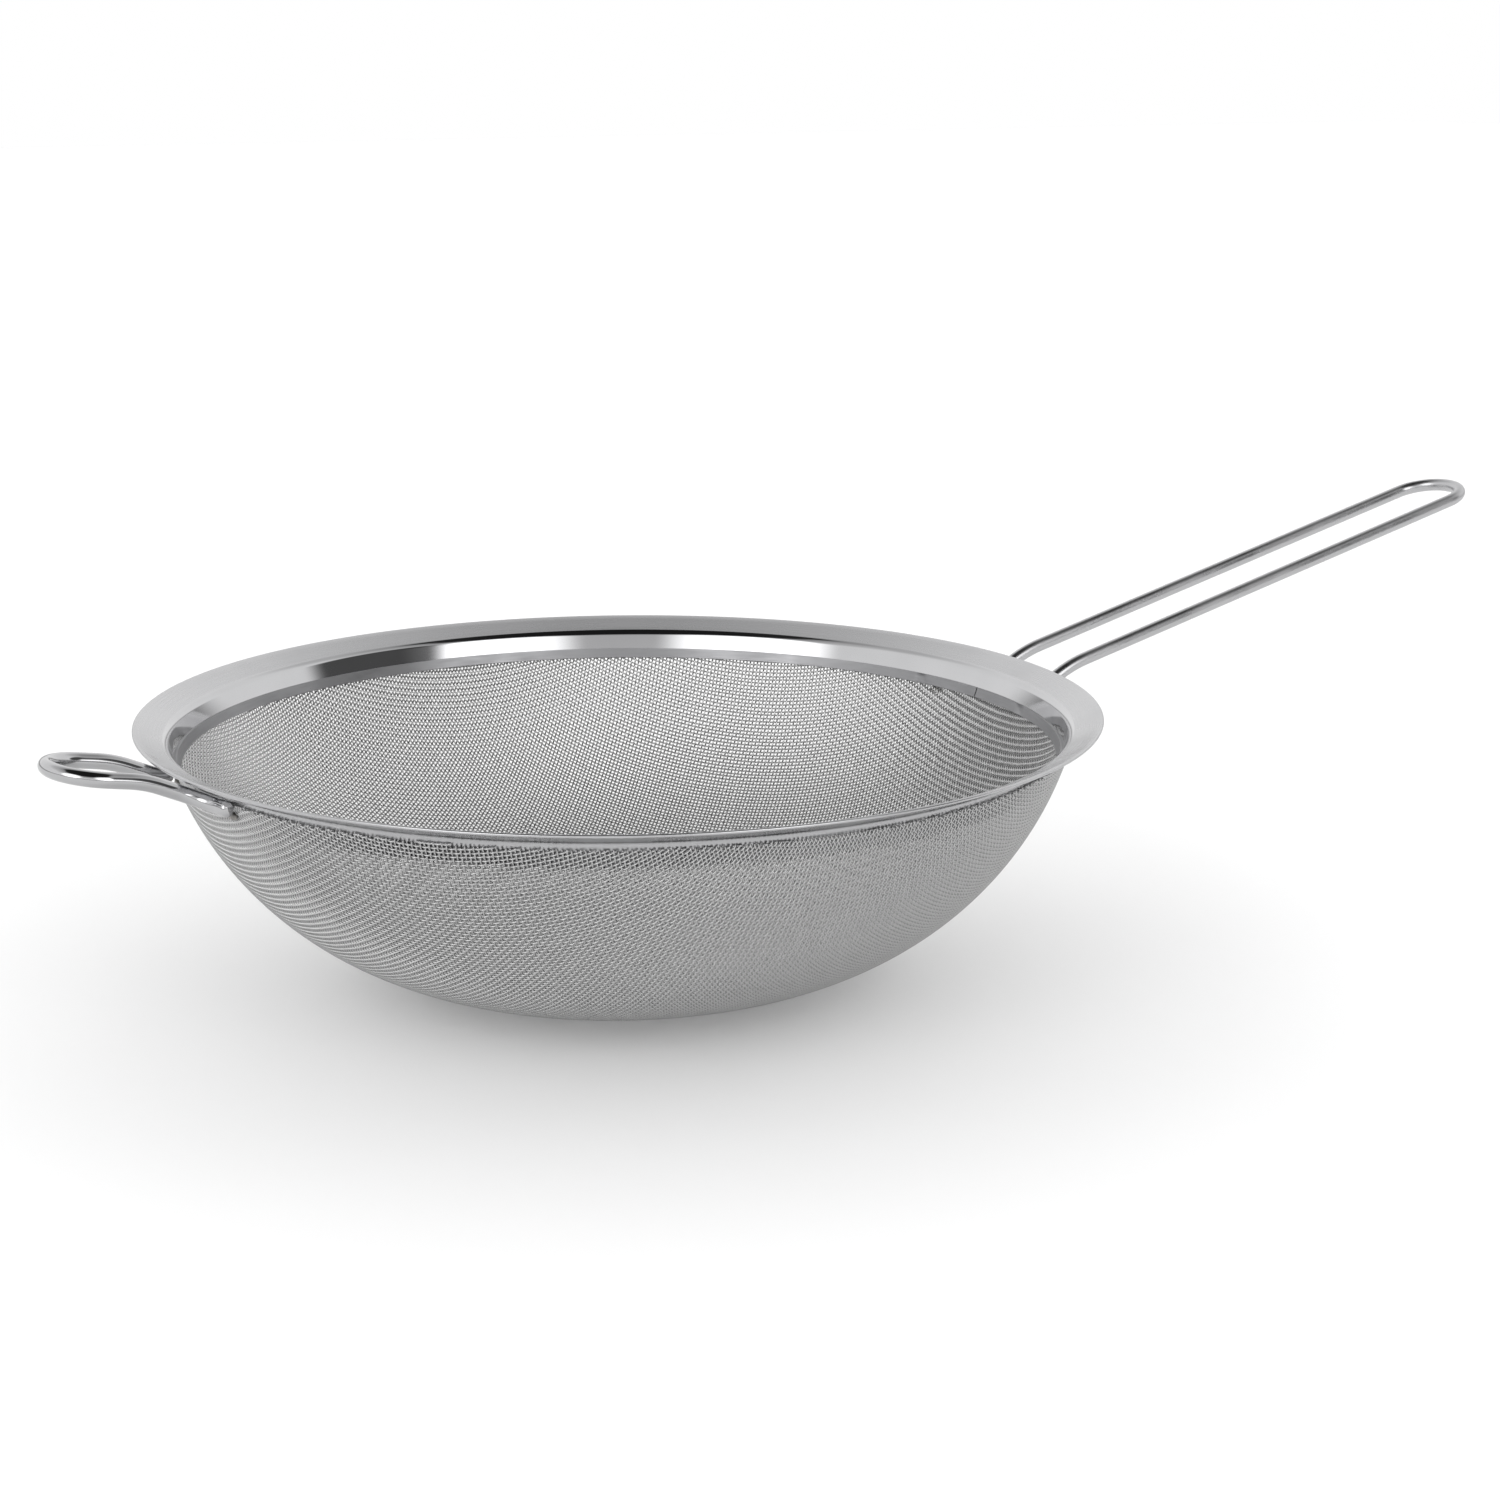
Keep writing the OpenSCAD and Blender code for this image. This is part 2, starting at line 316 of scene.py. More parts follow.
def rim_section(rim):
    """The closed section of the rim: rounded edge, flange, bend and throat wall."""
    flange_down = heading(rim.flange_slope - math.pi / 2)
    flange_in = heading(math.pi + rim.flange_slope)
    wall_down = heading(-math.pi / 2 - rim.throat_lean)
    wall_out = heading(-rim.throat_lean)
    edge_r = rim.sheet_t / 2
    edge_c = np.array([rim.rim_r - edge_r, -edge_r])
    top = edge_c - flange_down * edge_r
    throat = np.array([rim.throat_r, -rim.strip_top])
    run = cross2(throat - top, wall_down) / cross2(flange_in, wall_down)
    corner = top + flange_in * run
    turn = math.pi / 2 - rim.throat_lean - rim.flange_slope
    bend_start = corner - flange_in * rim.bend_r * math.tan(turn / 2)
    bend_c = bend_start + flange_down * rim.bend_r
    a0, a1 = math.pi / 2 + rim.flange_slope, math.pi - rim.throat_lean
    end = wall_point(rim, rim.strip_top + rim.strip_h - SHEET_INSET, 0.0)
    bend_count, edge_count, flange_count = 15, 9, 5
    bend_end = bend_c + rim.bend_r * heading(a1)
    upper = np.concatenate([
        between(top, bend_start, flange_count)[1:-1],
        arc_points(bend_c, rim.bend_r, a0, a1, bend_count),
        between(bend_end, end, 3)[1:]])
    lower = np.concatenate([
        between(end + wall_out * rim.sheet_t, bend_end + wall_out * rim.sheet_t, 3)[:-1],
        arc_points(bend_c, rim.bend_r - rim.sheet_t, a1, a0, bend_count),
        between(bend_start + flange_down * rim.sheet_t, top + flange_down * rim.sheet_t,
                flange_count)[1:-1]])
    edge = arc_points(edge_c, edge_r, rim.flange_slope - math.pi / 2,
                      rim.flange_slope + math.pi / 2, edge_count)
    return np.concatenate([upper, lower, edge])


def cross2(a, b):
    """Cross product of two directions in the section."""
    return a[0] * b[1] - a[1] * b[0]


def between(a, b, count):
    """Evenly spaced points from a to b."""
    return np.array(a) + np.linspace(0, 1, count)[:, None] * (np.array(b) - np.array(a))


class BowlCurve:
    """The middle surface of the cloth as a height over the radius: bottom arc, side arc, hem."""

    def __init__(self, rim, cloth):
        outer = rim.sheet_t + FIT_GAP + cloth.cloth_t
        self.lean = rim.throat_lean
        start = wall_point(rim, rim.strip_top + rim.strip_h, outer)
        wall_out = heading(-self.lean)
        self.side_c = start - wall_out * cloth.side_r
        self.side_r = cloth.side_r - cloth.cloth_t / 2
        self.bottom_r = cloth.bottom_r - cloth.cloth_t / 2
        self.bottom_z = self.side_c[1] + math.sqrt(
            (cloth.bottom_r - cloth.side_r) ** 2 - self.side_c[0] ** 2)
        knuckle = math.atan2(self.side_c[0], self.bottom_z - self.side_c[1])
        self.r_knuckle = self.bottom_r * math.sin(knuckle)
        self.r_hem = self.side_c[0] + self.side_r * math.cos(self.lean)
        self.z_hem = self.side_c[1] - self.side_r * math.sin(self.lean)

    def height(self, r):
        """Height of the curve at each radius."""
        bottom = self.bottom_z - np.sqrt(self.bottom_r ** 2 - np.minimum(r, self.r_knuckle) ** 2)
        rs = np.clip(r, self.r_knuckle, self.r_hem) - self.side_c[0]
        side = self.side_c[1] - np.sqrt(self.side_r ** 2 - rs ** 2)
        hem = self.z_hem + (r - self.r_hem) / math.tan(self.lean)
        return np.where(r < self.r_knuckle, bottom, np.where(r < self.r_hem, side, hem))

    def slope(self, r):
        """Rise of the curve per unit of radius."""
        rb = np.minimum(r, self.r_knuckle)
        bottom = rb / np.sqrt(self.bottom_r ** 2 - rb ** 2)
        rs = np.clip(r, self.r_knuckle, self.r_hem) - self.side_c[0]
        side = rs / np.sqrt(self.side_r ** 2 - rs ** 2)
        hem = np.full_like(r, 1 / math.tan(self.lean))
        return np.where(r < self.r_knuckle, bottom, np.where(r < self.r_hem, side, hem))

    def radius_at(self, run):
        """Radius after each distance run along the curve from the middle of the bowl."""
        r = np.linspace(0, self.r_hem + 5 * MM, 6000)
        z = self.height(r)
        s = np.concatenate([[0], np.cumsum(np.hypot(np.diff(r), np.diff(z)))])
        return np.where(run <= s[-1], np.interp(run, s, r), np.nan)

    def normal(self, p):
        """Unit normals at points on the bowl, pointing inwards and up."""
        r = np.hypot(p[..., 0], p[..., 1])
        k = self.slope(r)
        rr = np.maximum(r, 1e-9)
        n = np.stack([-k * p[..., 0] / rr, -k * p[..., 1] / rr, np.ones_like(r)], axis=-1)
        return n / np.linalg.norm(n, axis=-1, keepdims=True)


def cloth_net(curve, pitch, count):
    """Crossings of the cloth in one quarter of the bowl. Cloth shears but its wires don't
    stretch, so every crossing is one pitch away from both of its neighbours."""
    net = np.full((count + 1, count + 1, 3), np.nan)
    r = curve.radius_at(np.arange(count + 1) * pitch)
    z = curve.height(r)
    net[:, 0] = np.stack([r, np.zeros_like(r), z], axis=-1)
    net[0, :] = np.stack([np.zeros_like(r), r, z], axis=-1)
    for diagonal in range(2, 2 * count + 1):
        i = np.arange(max(1, diagonal - count), min(count, diagonal - 1) + 1)
        j = diagonal - i
        a, b, c = net[i - 1, j], net[i, j - 1], net[i - 1, j - 1]
        p = a + b - c
        for _ in range(6):
            rho = np.hypot(p[:, 0], p[:, 1])
            p[:, 2] = curve.height(rho)
            k = curve.slope(rho) / np.maximum(rho, 1e-9)
            da, db = p - a, p - b
            fa, fb = (da ** 2).sum(1) - pitch ** 2, (db ** 2).sum(1) - pitch ** 2
            ax, ay = (2 * (da[:, i] + da[:, 2] * k * p[:, i]) for i in (0, 1))
            bx, by = (2 * (db[:, i] + db[:, 2] * k * p[:, i]) for i in (0, 1))
            det = ax * by - ay * bx
            det = np.where(np.abs(det) < 1e-12, np.nan, det)
            p[:, 0] -= (fa * by - fb * ay) / det
            p[:, 1] -= (ax * fb - bx * fa) / det
        rho = np.hypot(p[:, 0], p[:, 1])
        p[:, 2] = curve.height(rho)
        good = (np.abs(np.linalg.norm(p - a, axis=1) - pitch) < pitch * 0.01) & (
            rho < curve.r_hem + 4 * MM)
        p[~good] = np.nan
        net[i, j] = p
    return net


def full_net(quarter):
    """All four quarters from one, by mirroring."""
    count = quarter.shape[0] - 1
    k = np.arange(-count, count + 1)
    net = quarter[np.abs(k)][:, np.abs(k)].copy()
    net[..., 0] *= np.sign(k)[:, None]
    net[..., 1] *= np.sign(k)[None, :]
    return net


# ------------------------------------------------------------------ finishes

def start_material(name):
    """A node material with its nodes, its links and its shader."""
    mat = bpy.data.materials.new(name)
    mat.use_nodes = True
    nodes, links = mat.node_tree.nodes, mat.node_tree.links
    shader = nodes["Principled BSDF"]
    return mat, nodes, links, shader


def ring_coordinates(nodes, links):
    """Coordinates that run round the bowl's axis: (radius, angle, height)."""
    place = nodes.new("ShaderNodeTexCoord")
    axes = axes_of(nodes, links, place.outputs["Object"])
    flat = nodes.new("ShaderNodeCombineXYZ")
    links.new(axes["X"], flat.inputs["X"])
    links.new(axes["Y"], flat.inputs["Y"])
    radius = nodes.new("ShaderNodeVectorMath")
    radius.operation = "LENGTH"
    links.new(flat.outputs[0], radius.inputs[0])
    joined = nodes.new("ShaderNodeCombineXYZ")
    links.new(radius.outputs["Value"], joined.inputs["X"])
    links.new(combine(nodes, links, "ARCTAN2", axes["Y"], axes["X"]), joined.inputs["Y"])
    links.new(axes["Z"], joined.inputs["Z"])
    return joined.outputs[0]


def stretched_noise(nodes, links, coordinates, scale, detail):
    """Noise whose grain is stretched by a different scale on each axis."""
    mapping = nodes.new("ShaderNodeMapping")
    mapping.inputs["Scale"].default_value = scale
    links.new(coordinates, mapping.inputs["Vector"])
    noise = nodes.new("ShaderNodeTexNoise")
    noise.inputs["Scale"].default_value = 1.0
    noise.inputs["Detail"].default_value = detail
    links.new(mapping.outputs[0], noise.inputs["Vector"])
    return noise.outputs["Fac"]


def combine(nodes, links, operation, a, b):
    """One value from two."""
    node = nodes.new("ShaderNodeMath")
    node.operation = operation
    links.new(a, node.inputs[0])
    links.new(b, node.inputs[1])
    return node.outputs[0]


def stretch(nodes, links, value, between_these, to_these, smooth=False):
    """A value mapped from one range to another and kept inside it."""
    span = nodes.new("ShaderNodeMapRange")
    span.interpolation_type = "SMOOTHSTEP" if smooth else "LINEAR"
    for socket, number in zip(("From Min", "From Max", "To Min", "To Max"),
                              (*between_these, *to_these)):
        span.inputs[socket].default_value = number
    links.new(value, span.inputs["Value"])
    return span.outputs["Result"]


def axes_of(nodes, links, vector):
    """The three parts of a vector, by name."""
    split = nodes.new("ShaderNodeSeparateXYZ")
    links.new(vector, split.inputs[0])
    return split.outputs


def remap(nodes, links, value, low, high):
    """The middle of a noise, stretched to run from low to high."""
    return stretch(nodes, links, value, NOISE_MIDDLE, (low, high))


def shade_between(nodes, links, value, dark, light):
    """A colour between two, by a value."""
    ramp = nodes.new("ShaderNodeValToRGB")
    for step, colour, position in zip(ramp.color_ramp.elements, (dark, light), NOISE_MIDDLE):
        step.color = (*colour, 1.0)
        step.position = position
    links.new(value, ramp.inputs["Fac"])
    return ramp.outputs["Color"]


def add_bump(nodes, links, shader, value, strength, distance):
    """Fine relief on a shader's surface."""
    bump = nodes.new("ShaderNodeBump")
    bump.inputs["Strength"].default_value = strength
    bump.inputs["Distance"].default_value = distance
    links.new(value, bump.inputs["Height"])
    links.new(bump.outputs["Normal"], shader.inputs["Normal"])


def dim(colour, by):
    """A colour made darker by a factor."""
    return tuple(c * by for c in colour)


def turned_steel(name, colour, roughness, grain, bump_strength, satin_from=None):
    """Steel polished round the axis: fine rings in its gloss, and faint clouds of handling.
    Inside the radius satin_from it is polished brighter."""
    mat, nodes, links, shader = start_material(name)
    shader.inputs["Metallic"].default_value = 1.0
    rings = ring_coordinates(nodes, links)
    fine = stretched_noise(nodes, links, rings, grain, 4.0)
    place = nodes.new("ShaderNodeTexCoord")
    clouds = stretched_noise(nodes, links, place.outputs["Object"], (55.0, 55.0, 55.0), 3.0)
    gloss = combine(nodes, links, "ADD",
                    remap(nodes, links, fine, -0.15 * roughness, 0.15 * roughness),
                    remap(nodes, links, clouds, roughness * 0.8, roughness * 1.25))
    if satin_from is not None:
        gloss = brighter_inside(nodes, links, rings, gloss, satin_from)
    links.new(gloss, shader.inputs["Roughness"])
    links.new(shade_between(nodes, links, clouds, dim(colour, 0.94), colour),
              shader.inputs["Base Color"])
    add_bump(nodes, links, shader, fine, bump_strength, 0.02 * MM)
    return mat


def brighter_inside(nodes, links, rings, gloss, radius):
    """Scales a roughness down inside a radius, over less than a millimetre."""
    outwards = axes_of(nodes, links, rings)["X"]
    edge = stretch(nodes, links, outwards, (radius, radius + 0.7 * MM), (0.25, 1.0))
    # The underside, which faces down, stays satin everywhere
    shape = nodes.new("ShaderNodeNewGeometry")
    facing = axes_of(nodes, links, shape.outputs["Normal"])["Z"]
    under = stretch(nodes, links, facing, (-0.05, -0.15), (0.0, 1.0))
    satin = combine(nodes, links, "MAXIMUM", edge, under)
    return combine(nodes, links, "MULTIPLY", gloss, satin)


def wire_steel(name, colour, roughness, cell, bump_strength):
    """Drawn steel wire: slight clouds in its colour and gloss, and fine draw marks."""
    mat, nodes, links, shader = start_material(name)
    shader.inputs["Metallic"].default_value = 1.0
    place = nodes.new("ShaderNodeTexCoord")
    clouds = stretched_noise(nodes, links, place.outputs["Object"], (cell, cell, cell), 3.0)
    fine = stretched_noise(nodes, links, place.outputs["Object"],
                           (cell * 2, cell * 22, cell * 22), 2.0)
    links.new(remap(nodes, links, clouds, roughness * 0.75, roughness * 1.35),
              shader.inputs["Roughness"])
    links.new(shade_between(nodes, links, clouds, dim(colour, 0.92), colour),
              shader.inputs["Base Color"])
    add_bump(nodes, links, shader, fine, bump_strength, 0.02 * MM)
    return mat


def weld_metal(name, colour):
    """Weld metal: dark, uneven, with a heat tint and a rough skin."""
    mat, nodes, links, shader = start_material(name)
    shader.inputs["Metallic"].default_value = 1.0
    place = nodes.new("ShaderNodeTexCoord")
    skin = stretched_noise(nodes, links, place.outputs["Object"], (900.0, 900.0, 900.0), 5.0)
    links.new(shade_between(nodes, links, skin, dim(colour, 0.5), (0.52, 0.50, 0.47)),
              shader.inputs["Base Color"])
    links.new(remap(nodes, links, skin, 0.35, 0.6), shader.inputs["Roughness"])
    add_bump(nodes, links, shader, skin, 0.6, 0.08 * MM)
    return mat


def floor_paint(name, colour, reflection_shade_share):
    """Pale matt paint with a faint mottle. For rays reflected off the steel its colour is dimmed:
    painted shade in the steel's reflection of the floor.
    """
    mat, nodes, links, shader = start_material(name)
    place = nodes.new("ShaderNodeTexCoord")
    mottle = stretched_noise(nodes, links, place.outputs["Object"], (6.0, 6.0, 6.0), 2.0)
    path = nodes.new("ShaderNodeLightPath")
    mix = nodes.new("ShaderNodeMix")
    mix.data_type = "RGBA"
    links.new(path.outputs["Is Glossy Ray"], mix.inputs["Factor"])
    links.new(shade_between(nodes, links, mottle, dim(colour, 0.99), colour), mix.inputs[6])
    # Rays reflected off the steel see a darker floor colour: painted shade in the floor's
    # reflection
    mix.inputs[7].default_value = (*dim(colour, reflection_shade_share), 1.0)
    links.new(mix.outputs[2], shader.inputs["Base Color"])
    shader.inputs["Roughness"].default_value = 0.85
    shader.inputs["Specular IOR Level"].default_value = 0.2
    return mat


def finish_piece(piece, mat, slot_name, *nodes_replaced):
    """Gives a piece its finish, parents it to the root body, and hides the CAD nodes it replaces.
    """
    piece.data.materials.append(mat)
    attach(piece, "root")
    if nodes_replaced:
        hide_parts(*nodes_replaced)


# ------------------------------------------------------------------ wires

def foot_radius(rim, cloth, wire_d, depth):
    """Radius at which a foot of that wire touches the cloth at its depth."""
    outer = rim.sheet_t + FIT_GAP + cloth.cloth_t
    return rim.throat_r - (depth - rim.strip_top) * math.tan(rim.throat_lean) + (
        outer + FIT_GAP + wire_d / 2) / math.cos(rim.throat_lean)


def foot_point(radius, depth, turn, along):
    """A point on a foot, so far past the place where it touches the cloth."""
    p = radius * heading(turn) + along * heading(turn + math.pi / 2)
    return np.array([p[0], p[1], -depth])


def swept_wire(name, path, wire_d, flatten, press):
    """A round wire along a path. Its two ends are pressed flat towards the bowl's axis over a
    length of press, and rounded off."""
    around = 28
    seg = np.linalg.norm(np.diff(path, axis=0), axis=1)
    run = np.concatenate([[0], np.cumsum(seg)])
    tangent = np.gradient(path, run, axis=0)
    tangent /= np.linalg.norm(tangent, axis=1, keepdims=True)
    # Carry one side direction along the path with the least twist
    side = np.zeros_like(path)
    outward = unit(np.array([path[0][0], path[0][1], 0.0]))
    side[0] = unit(outward - (outward @ tangent[0]) * tangent[0])
    for k in range(1, len(path)):
        s = side[k - 1] - (side[k - 1] @ tangent[k]) * tangent[k]
        side[k] = unit(s)
    up = np.cross(tangent, side)
    from_end = np.minimum(run, run[-1] - run)
    squash = np.clip(1 - from_end / press, 0, 1)
    squash = squash * squash * (3 - 2 * squash)
    r = wire_d / 2
    thin, wide = 1 - flatten * squash, 1 + 0.35 * flatten * squash
    a = np.linspace(0, 2 * math.pi, around, endpoint=False)
    rings = []
    for k in range(len(path)):
        radial = unit(np.array([path[k][0], path[k][1], 0.0]))
        radial = radial - (radial @ tangent[k]) * tangent[k]
        flat_dir = unit(radial) if squash[k] > 0 and np.linalg.norm(radial) > 0.1 else side[k]
        ring = r * (np.cos(a)[:, None] * side[k] + np.sin(a)[:, None] * up[k])
        depth = ring @ flat_dir
        across = ring - depth[:, None] * flat_dir
        ring = across * wide[k] + depth[:, None] * flat_dir * thin[k]
        rings.append(path[k] + ring)
    rings = np.array(rings)
    ends = []
    for first, outward_t in ((0, -tangent[0]), (len(path) - 1, tangent[-1])):
        body = rings[first] - path[first]
        # A blunt, rounded end
        stack = [path[first] + body * s + outward_t * END_ROUND * math.sqrt(1 - s ** 3)
                 for s in (0.98, 0.94, 0.86, 0.74, 0.58, 0.4, 0.2, 0.02)]
        ends.append(np.array(stack))
    points = np.concatenate([ends[0][::-1], rings, ends[1]])
    quads = grid_quads(len(points), around, False)
    caps = []
    for first, flip in ((0, True), ((len(points) - 1) * around, False)):
        caps.append(end_quads(first, around, flip))
    return quad_mesh(name, points.reshape(-1, 3), np.concatenate([quads] + caps),
                     sharp_angle=math.radians(50))


def handle_corners(rim, cloth, wires):
    """Corners and bend radii of the handle's wire, from one foot's end to the other's."""
    side, d = wires.handle_gauge / 2, wires.handle_d
    reach = float(HANDLE_BOX[1][0]) - d / 2
    tip_z = HANDLE_DIP[1] + (reach - HANDLE_DIP[0]) * math.tan(wires.handle_rise)
    half = [(reach, side, tip_z), (HANDLE_DIP[0], side, HANDLE_DIP[1]),
            (HANDLE_RUN_IN[0], side, HANDLE_RUN_IN[1])]
    half += foot_corners(rim, cloth, d, wires.handle_foot, HANDLE_FOOT_TURN, side,
                         HANDLE_FOOT_REACH)
    return both_halves(half, [side - TIP_FLAT, HANDLE_DIP_R, HANDLE_RUN_IN_R, HANDLE_ELBOW_R])


def loop_corners(rim, cloth, wires):
    """Corners and bend radii of the support loop, along +X. The caller turns it round."""
    side, d = wires.loop_gauge / 2, wires.loop_d
    reach = -float(LOOP_BOX[0][0]) - d / 2
    tip_z = LOOP_DIP[1] + (reach - LOOP_DIP[0]) * math.tan(wires.loop_rise)
    half = [(reach, side, tip_z), (LOOP_DIP[0], side, LOOP_DIP[1])]
    half += foot_corners(rim, cloth, d, wires.loop_foot, LOOP_FOOT_TURN, side, LOOP_FOOT_REACH)
    return both_halves(half, [side - TIP_FLAT, LOOP_DIP_R, LOOP_ELBOW_R])


def foot_corners(rim, cloth, wire_d, depth, turn_degrees, side, reach):
    """The corner where a leg turns into its foot, and the end of the foot."""
    turn = math.radians(turn_degrees)
    radius = foot_radius(rim, cloth, wire_d, depth)
    corner = foot_point(radius, depth, turn, side / math.cos(turn) - radius * math.tan(turn))
    return [tuple(corner), tuple(foot_point(radius, depth, turn, reach))]


def both_halves(half, radii):
    """A whole U from one half of its corners."""
    corners = half[::-1] + [(x, -y, z) for x, y, z in half]
    return corners, [0] + radii[::-1] + radii + [0]


def weld_bead(rim, cloth, wire_d, depth, turn, rng):
    """Two uneven fillets of weld metal in the crevice under a pair of feet."""
    outer = rim.sheet_t + FIT_GAP + cloth.cloth_t
    bead_r, reach, sunk = 0.75 * MM, 4.8 * MM, 0.12 * MM
    around, rings = 14, 26
    points, quads = [], []
    for sign in (1, -1):
        first = len(points) * around
        wobble = rng.normal(0, 0.06, (rings, 1)) + 1
        for k in range(rings):
            t = (k / (rings - 1) - 0.5) * reach
            swell = math.sqrt(max(0.0, 1 - (2 * k / (rings - 1) - 1) ** 2)) * wobble[k, 0]
            swell = max(swell, 0.03)
            base = wall_point(rim, depth + 0.5 * wire_d, outer + sunk)
            a = np.linspace(0, 2 * math.pi, around, endpoint=False)
            r = base[0] + bead_r * swell * 0.8 * np.cos(a)
            z = base[1] + bead_r * swell * 1.3 * np.sin(a)
            mid = turn + t / base[0]
            flare = r * math.cos(t / base[0])
            points.append(np.stack([flare * math.cos(mid), sign * flare * math.sin(mid), z],
                                   axis=-1))
        part = np.concatenate([grid_quads(rings, around, False, first),
                               end_quads(first, around, True),
                               end_quads(first + (rings - 1) * around, around, False)])
        quads.append(part if sign > 0 else part[:, ::-1])
    return np.concatenate(points), np.concatenate(quads)


# ------------------------------------------------------------------ operators

class StrainerBuildRim(Operator):
    """Build the pressed rim: rounded edge, sloping flange, polished bend and throat wall"""

    bl_idname = "strainer.build_rim"
    bl_label = "Rim"

    def execute(self, context):
        rim = context.scene.strainer_rim
        turns = np.linspace(0, 2 * math.pi, rim.steps + 1)
        piece = lathe("rim_sheet", rim_section(rim), turns)
        mat = turned_steel("polished sheet", rim.steel, rim.gloss, (9000.0, 3.0, 9000.0), 0.02,
                           satin_from=112.4 * MM)
        finish_piece(piece, mat, "polished_steel", "rim")
        return {"FINISHED"}


class StrainerBuildStrip(Operator):
    """Build the clamping strip with its butt seam and the dents left by the welding electrodes"""

    bl_idname = "strainer.build_strip"
    bl_label = "Clamping strip"

    def execute(self, context):
        rim = context.scene.strainer_rim
        seam = rim.seam_gap / rim.throat_r
        turns = np.linspace(seam / 2, 2 * math.pi - seam / 2, rim.steps * 2)
        top = wall_point(rim, rim.strip_top, -FIT_GAP)
        low = wall_point(rim, rim.strip_top + rim.strip_h, -FIT_GAP)
        inward = -heading(-rim.throat_lean)
        height = 11
        outer = between(low, top, height)
        inner = between(top + inward * rim.strip_t, low + inward * rim.strip_t, height)
        bevel = 0.08 * MM
        down = unit(low - top)
        inner[0] += down * bevel
        inner[-1] -= down * bevel
        section = np.concatenate([inner, outer])
        sections = np.repeat(section[None], len(turns), axis=0)
        across = np.linspace(-1, 1, height)
        for centre in (12, -12, 168, 192):
            off = (np.degrees(turns) - centre + 180) % 360 - 180
            dent = np.exp(-(off / 0.9) ** 4)[:, None] * np.exp(-(across / 0.75) ** 4)[None, :]
            sections[:, :height] -= dent[..., None] * inward * rim.dent_depth
        piece = lathe("clamping_strip_ring", sections, turns)
        mat = turned_steel("rolled strip", rim.strip_steel, 0.42, (2500.0, 14.0, 2500.0), 0.5)
        finish_piece(piece, mat, "strip_steel", "clamping_strip")
        return {"FINISHED"}


